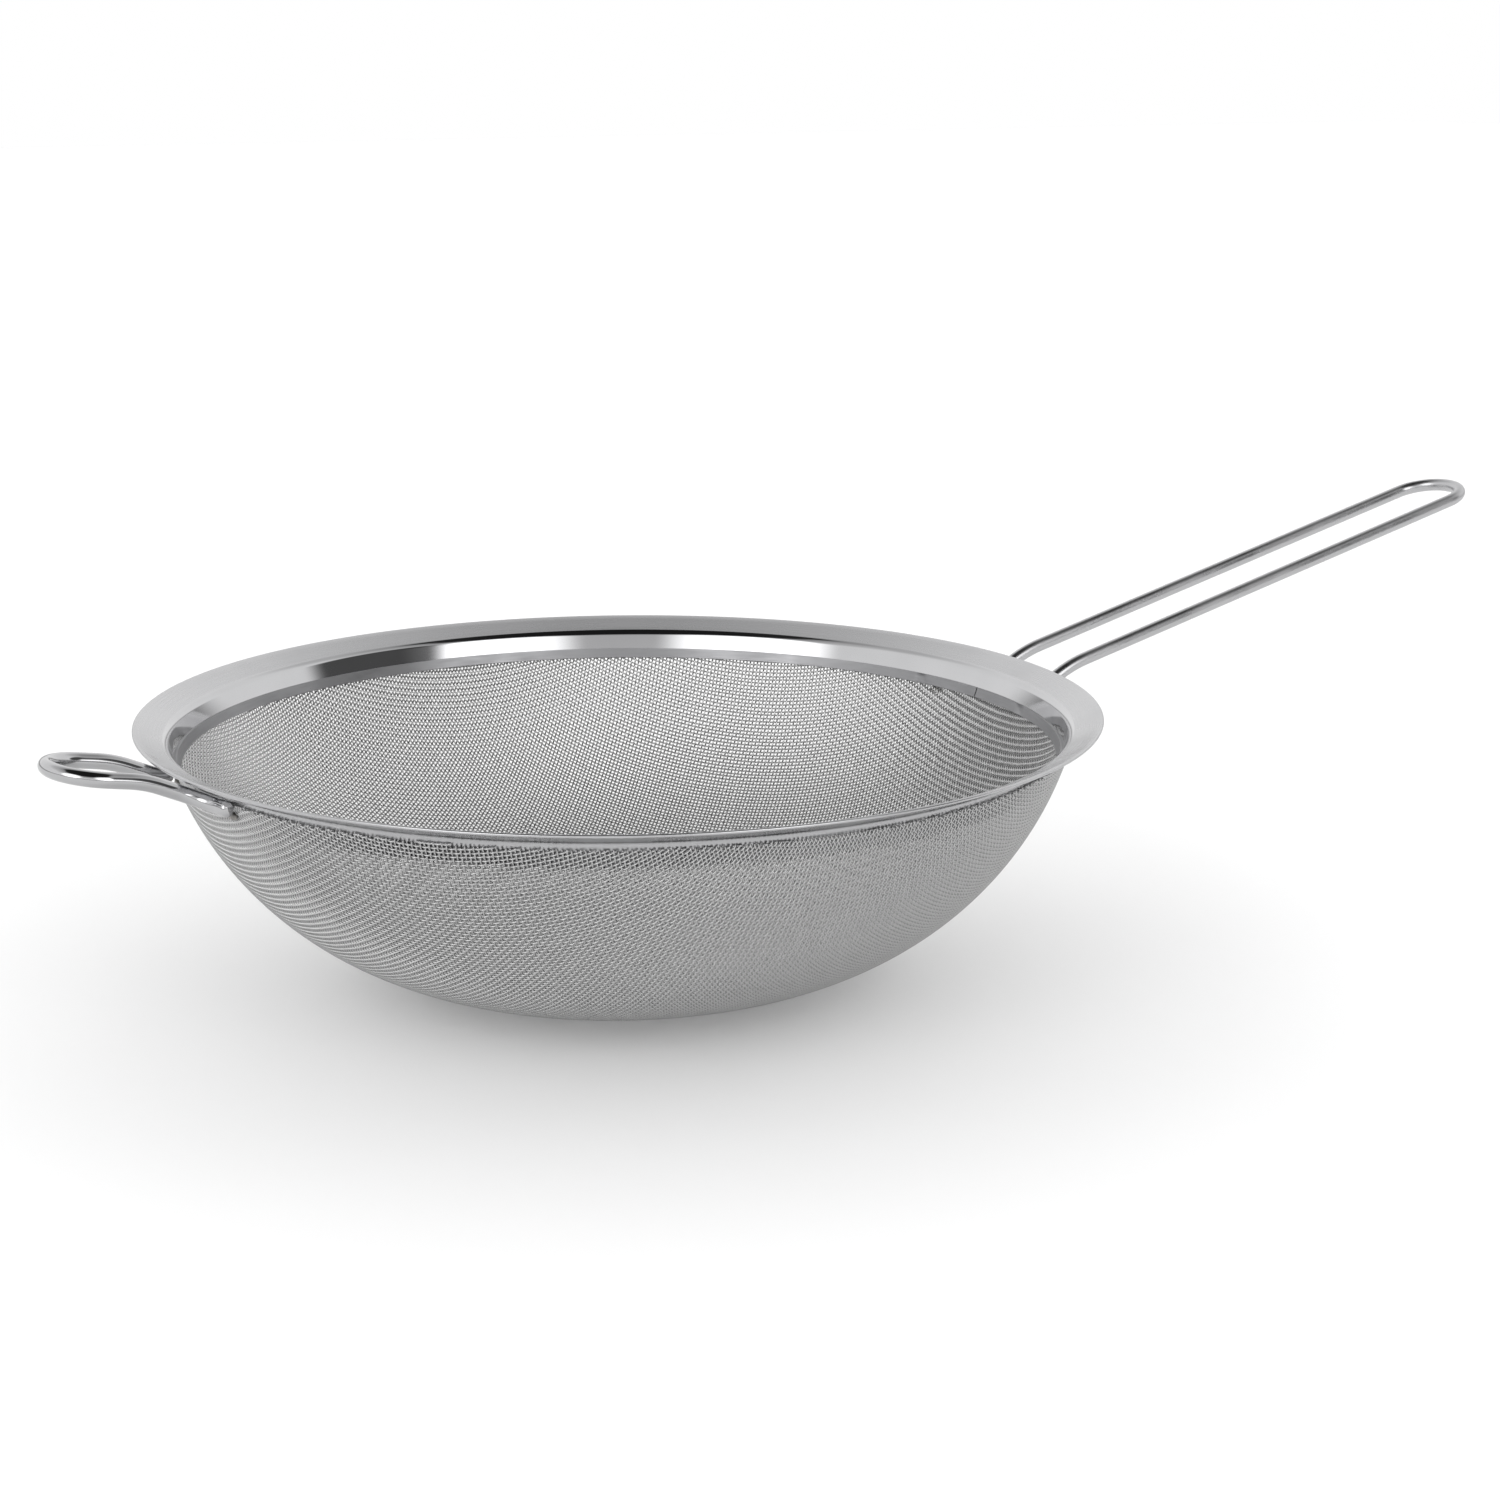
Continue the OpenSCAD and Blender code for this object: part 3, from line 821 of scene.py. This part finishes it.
class StrainerBuildCloth(Operator):
    """Weave the bowl: every wire of the cloth goes over one cross wire and under the next"""

    bl_idname = "strainer.build_cloth"
    bl_label = "Wire cloth"

    def execute(self, context):
        rim, cloth = context.scene.strainer_rim, context.scene.strainer_cloth
        curve = BowlCurve(rim, cloth)
        net = full_net(cloth_net(curve, cloth.pitch, 150))
        rng = np.random.default_rng(24)
        mat = wire_steel("woven wire", cloth.steel, cloth.gloss, 380.0, 0.1)
        turn = cloth.weave_turn
        spin = np.array([[math.cos(turn), -math.sin(turn), 0],
                         [math.sin(turn), math.cos(turn), 0], [0, 0, 1]])
        first_piece = True
        for family, sheet in (("warp", net), ("weft", np.swapaxes(net, 0, 1))):
            strands = self.strands(cloth, sheet, family == "weft", rng)
            total = sum(len(s) for s in strands)
            pieces = math.ceil(total / (CLOTH_FACES // cloth.sides))
            share_each, filled, batch, number = total / pieces, 0, [], 1
            for strand in strands:
                batch.append(strand)
                filled += len(strand)
                if filled >= share_each * number - 1 or strand is strands[-1]:
                    piece = self.tubes(f"cloth_{family}_{number:02d}", batch, curve, cloth, spin)
                    finish_piece(piece, mat, "woven_wire", *(["mesh_bowl"] if first_piece else []))
                    first_piece = False
                    batch, number = [], number + 1
        return {"FINISHED"}

    def strands(self, cloth, sheet, is_weft, rng):
        """Centre points of each wire of one family, two to a crossing, with their normals."""
        out = []
        count = sheet.shape[0] // 2
        lift = (cloth.cloth_t - cloth.wire_d) / 2
        for j in range(sheet.shape[1]):
            line = sheet[:, j]
            keep = ~np.isnan(line[:, 0]) & (line[:, 2] < -cloth.hem_top)
            if keep.sum() < 4 or not keep[count]:
                continue
            low = count
            while low > 0 and keep[low - 1]:
                low -= 1
            high = count
            while high < len(keep) - 1 and keep[high + 1]:
                high += 1
            ids = np.arange(low, high + 1)
            p = line[ids]
            # Cut both ends off level, part of the way to the next crossing
            for end, beyond in ((0, low - 1), (-1, high + 1)):
                if 0 <= beyond < len(line) and not np.isnan(line[beyond, 0]):
                    rise = line[beyond, 2] - p[end, 2]
                    part = np.clip((-cloth.hem_top - p[end, 2]) / max(rise, 1e-9), 0.02, 1)
                    cut = p[end] + part * (line[beyond] - p[end])
                    p = np.vstack([cut, p]) if end == 0 else np.vstack([p, cut])
                    ids = np.append(beyond, ids) if end == 0 else np.append(ids, beyond)
            sign = np.where((ids + j) % 2 == 0, 1.0, -1.0) * (-1.0 if is_weft else 1.0)
            points = np.empty((2 * len(p) - 1, 3))
            offset = np.zeros(len(points))
            points[::2] = p
            points[1::2] = (p[:-1] + p[1:]) / 2
            offset[::2] = sign * lift
            # A slow wander, drawn afresh every dozen points
            knots = np.arange(0, len(points) + 24, 12)
            drawn = rng.normal(0, cloth.ripple, len(points) // 12 + 3)[:len(knots)]
            wander = np.interp(np.arange(len(points)), knots, drawn)
            out.append(np.column_stack([points, offset, wander]))
        return out

    def tubes(self, name, strands, curve, cloth, spin):
        """One mesh with a round tube along each strand."""
        sides = cloth.sides
        a = np.linspace(0, 2 * math.pi, sides, endpoint=False)
        points, quads, first = [], [], 0
        r = cloth.wire_d / 2
        for strand in strands:
            p, offset, wander = strand[:, :3], strand[:, 3:4], strand[:, 4:5]
            normal = curve.normal(p)
            along = np.gradient(p, axis=0)
            side = np.cross(along, normal)
            side /= np.linalg.norm(side, axis=1, keepdims=True)
            centre = p + normal * offset + side * wander
            along = np.gradient(centre, axis=0)
            along /= np.linalg.norm(along, axis=1, keepdims=True)
            up = np.cross(side, along)
            up /= np.linalg.norm(up, axis=1, keepdims=True)
            ring = centre[:, None] + r * (np.cos(a)[None, :, None] * up[:, None]
                                          + np.sin(a)[None, :, None] * side[:, None])
            points.append(ring.reshape(-1, 3) @ spin.T)
            quads.append(grid_quads(len(p), sides, False, first))
            quads.append(end_quads(first, sides, True))
            quads.append(end_quads(first + (len(p) - 1) * sides, sides, False))
            first += len(p) * sides
        return quad_mesh(name, np.concatenate(points), np.concatenate(quads))


class StrainerBuildHandle(Operator):
    """Bend the handle's wire into its long U, and press its two feet flat"""

    bl_idname = "strainer.build_handle"
    bl_label = "Handle"

    def execute(self, context):
        scene = context.scene
        corners, radii = handle_corners(scene.strainer_rim, scene.strainer_cloth,
                                        scene.strainer_wires)
        wires = scene.strainer_wires
        path = bent_path(corners, radii, 0.6 * MM)
        piece = swept_wire("handle_u", path, wires.handle_d, wires.flatten, 9 * MM)
        mat = wire_steel("satin wire", wires.steel, wires.handle_gloss, 60.0, 0.02)
        finish_piece(piece, mat, "drawn_wire", "handle_wire")
        return {"FINISHED"}


class StrainerBuildLoop(Operator):
    """Bend the support loop opposite the handle, and press its two feet flat"""

    bl_idname = "strainer.build_loop"
    bl_label = "Support loop"

    def execute(self, context):
        scene = context.scene
        corners, radii = loop_corners(scene.strainer_rim, scene.strainer_cloth,
                                      scene.strainer_wires)
        wires = scene.strainer_wires
        path = bent_path(corners, radii, 0.5 * MM)
        path[:, :2] *= -1
        piece = swept_wire("support_loop_u", path, wires.loop_d, wires.flatten, 8 * MM)
        mat = wire_steel("polished wire", wires.steel, wires.loop_gloss, 60.0, 0.02)
        finish_piece(piece, mat, "drawn_wire", "support_loop")
        return {"FINISHED"}


class StrainerBuildWelds(Operator):
    """Lay the small welds under the feet of the handle and of the loop"""

    bl_idname = "strainer.build_welds"
    bl_label = "Welds"

    def execute(self, context):
        scene = context.scene
        rim, cloth, wires = scene.strainer_rim, scene.strainer_cloth, scene.strainer_wires
        rng = np.random.default_rng(7)
        mat = weld_metal("weld metal", wires.weld_steel)
        for name, node, d, depth, turn, flip in (
                ("handle_weld_fillets", "handle_welds", wires.handle_d, wires.handle_foot,
                 HANDLE_FOOT_TURN, 1),
                ("loop_weld_fillets", "loop_welds", wires.loop_d, wires.loop_foot,
                 LOOP_FOOT_TURN, -1)):
            points, quads = weld_bead(rim, cloth, d, depth, math.radians(turn), rng)
            points[:, :2] *= flip
            piece = quad_mesh(name, points, quads)
            finish_piece(piece, mat, "weld_metal", node)
        return {"FINISHED"}


class StrainerBuildStage(Operator):
    """Lay the pale floor and set up the studio light and the camera"""

    bl_idname = "strainer.build_stage"
    bl_label = "Stage"

    def execute(self, context):
        scene = context.scene
        stage = scene.strainer_stage
        self.floor(stage)
        self.surroundings(scene, stage)
        self.lights(stage)
        self.camera(scene, stage)
        scene.view_settings.view_transform = "Standard"
        return {"FINISHED"}

    def floor(self, stage):
        half, z = 6.0, float(CAD_BOX[0][2]) - 0.02 * MM
        corners = [(-half, -half, z), (half, -half, z), (half, half, z), (-half, half, z)]
        floor = quad_mesh("floor", corners, [[0, 1, 2, 3]], smooth=False)
        floor.data.materials.append(floor_paint("floor paint", stage.floor_tint, stage.reflection_shade_share))

    def surroundings(self, scene, stage):
        """Bright walls low down, a dark ceiling over them, two softboxes in front, a dark flag
        to one side and a dark edge of the room, which only the steel mirrors."""
        world = bpy.data.worlds.new("studio")
        scene.world = world
        world.use_nodes = True
        nodes, links = world.node_tree.nodes, world.node_tree.links
        back = nodes["Background"]
        place = nodes.new("ShaderNodeTexCoord")
        direction = place.outputs["Generated"]
        # Height of a direction, as the sine of its angle above the horizon
        rise = axes_of(nodes, links, direction)["Z"]
        ramp = nodes.new("ShaderNodeValToRGB")
        ramp.color_ramp.interpolation = "EASE"
        wall, top = stage.backdrop, stage.ceiling
        low, high = ramp.color_ramp.elements
        low.position, high.position = 0.0, 1.0
        low.color, high.color = (wall, wall, wall, 1), (top * 0.6, top * 0.6, top * 0.6, 1)
        for height, level in ((0.55, wall * 0.95), (0.78, wall * 0.62), (0.86, wall * 0.44),
                              (0.905, top)):
            step = ramp.color_ramp.elements.new(height)
            step.color = (level, level, level, 1)
        # The ceiling comes lower over the camera than behind the strainer
        turn = stage.camera_turn
        front = self.lobe(nodes, links, direction, turn, 0.0, (0.0, 1.0), (0.0, 0.34))
        links.new(combine(nodes, links, "ADD", rise, front), ramp.inputs["Fac"])
        level = ramp.outputs["Color"]
        for side in (-38, 38):
            glow = self.lobe(nodes, links, direction, turn + math.radians(side),
                             math.radians(24), (0.90, 0.985), (0.0, stage.softbox))
            level = combine(nodes, links, "ADD", level, glow)
        edge = stretch(nodes, links, rise, (0.03, 0.14), (stage.horizon, 1.0), smooth=True)
        flag = self.lobe(nodes, links, direction, turn + math.radians(74), math.radians(24),
                         (0.92, 0.965), (1.0, 0.1))
        path = nodes.new("ShaderNodeLightPath")
        shade = combine(nodes, links, "MULTIPLY", edge, flag)
        shade = combine(nodes, links, "MAXIMUM", shade, path.outputs["Is Camera Ray"])
        links.new(combine(nodes, links, "MULTIPLY", level, shade), back.inputs["Strength"])
        back.inputs["Color"].default_value = (1.0, 1.0, 1.0, 1.0)

    def lobe(self, nodes, links, direction, turn, rise, cosines, values):
        """A soft patch of the surroundings round one direction. The cosines of the angle from
        its middle, from outside to inside, give the values there."""
        dot = nodes.new("ShaderNodeVectorMath")
        dot.operation = "DOT_PRODUCT"
        links.new(direction, dot.inputs[0])
        dot.inputs[1].default_value = (math.cos(turn) * math.cos(rise),
                                       math.sin(turn) * math.cos(rise), math.sin(rise))
        return stretch(nodes, links, dot.outputs["Value"], cosines, values,
                       smooth=cosines[1] < 1.0)

    def lights(self, stage):
        """A very wide light overhead, for the floor. The steel mirrors only the surroundings."""
        lamp = bpy.data.lights.new("overhead light", "SUN")
        lamp.energy, lamp.angle = stage.overhead, math.radians(140)
        light = bpy.data.objects.new("overhead light", lamp)
        light.location = (0.0, 0.0, 1.0)
        light.visible_glossy = False
        bpy.context.scene.collection.objects.link(light)

    def camera(self, scene, stage):
        """A camera that looks at the rim's centre, then swings a little aside."""
        a, e = stage.camera_turn, stage.camera_rise
        back = Vector((math.cos(a) * math.cos(e), math.sin(a) * math.cos(e), math.sin(e)))
        forward = -back
        right = Vector((-math.sin(a), math.cos(a), 0.0))
        up = right.cross(forward)
        yaw, pitch, roll = 0.0446, -0.0154, -0.0115
        forward, right = (math.cos(yaw) * forward + math.sin(yaw) * right,
                          math.cos(yaw) * right - math.sin(yaw) * forward)
        forward, up = (math.cos(pitch) * forward + math.sin(pitch) * up,
                       math.cos(pitch) * up - math.sin(pitch) * forward)
        right, up = (math.cos(roll) * right + math.sin(roll) * up,
                     math.cos(roll) * up - math.sin(roll) * right)
        lens = bpy.data.cameras.new("camera")
        lens.lens, lens.sensor_width = stage.lens, 36.0
        lens.clip_start, lens.clip_end = 0.05, 50.0
        camera = bpy.data.objects.new("camera", lens)
        turn = Matrix((right, up, -forward)).transposed().to_4x4()
        camera.matrix_world = Matrix.Translation(back * stage.camera_away) @ turn
        scene.collection.objects.link(camera)
        scene.camera = camera


class StrainerPanel(Panel):
    """The strainer's sizes and finishes, and a button for each piece."""

    bl_idname = "VIEW3D_PT_strainer"
    bl_label = "Wire Mesh Strainer"
    bl_space_type = "VIEW_3D"
    bl_region_type = "UI"
    bl_category = "Strainer"

    def draw(self, context):
        groups = ((context.scene.strainer_rim, (StrainerBuildRim, StrainerBuildStrip)),
                  (context.scene.strainer_cloth, (StrainerBuildCloth,)),
                  (context.scene.strainer_wires,
                   (StrainerBuildHandle, StrainerBuildLoop, StrainerBuildWelds)),
                  (context.scene.strainer_stage, (StrainerBuildStage,)))
        for settings, builders in groups:
            box = self.layout.box()
            for name in settings.__annotations__:
                box.prop(settings, name)
            for builder in builders:
                box.operator(builder.bl_idname)


SETTINGS = {
    "strainer_rim": StrainerRimSettings,
    "strainer_cloth": StrainerClothSettings,
    "strainer_wires": StrainerWireSettings,
    "strainer_stage": StrainerStageSettings,
}
OPERATORS = (StrainerBuildRim, StrainerBuildStrip, StrainerBuildCloth, StrainerBuildHandle,
             StrainerBuildLoop, StrainerBuildWelds, StrainerBuildStage)


def register():
    for group in SETTINGS.values():
        bpy.utils.register_class(group)
    for name, group in SETTINGS.items():
        setattr(bpy.types.Scene, name, PointerProperty(type=group))
    for builder in OPERATORS:
        bpy.utils.register_class(builder)
    bpy.utils.register_class(StrainerPanel)


def unregister():
    bpy.utils.unregister_class(StrainerPanel)
    for builder in reversed(OPERATORS):
        bpy.utils.unregister_class(builder)
    for name, group in SETTINGS.items():
        delattr(bpy.types.Scene, name)
        bpy.utils.unregister_class(group)


def main():
    """Builds every piece in order."""
    register()
    bpy.ops.strainer.build_rim()
    bpy.ops.strainer.build_strip()
    bpy.ops.strainer.build_cloth()
    bpy.ops.strainer.build_handle()
    bpy.ops.strainer.build_loop()
    bpy.ops.strainer.build_welds()
    bpy.ops.strainer.build_stage()


if __name__ == "__main__":
    main()
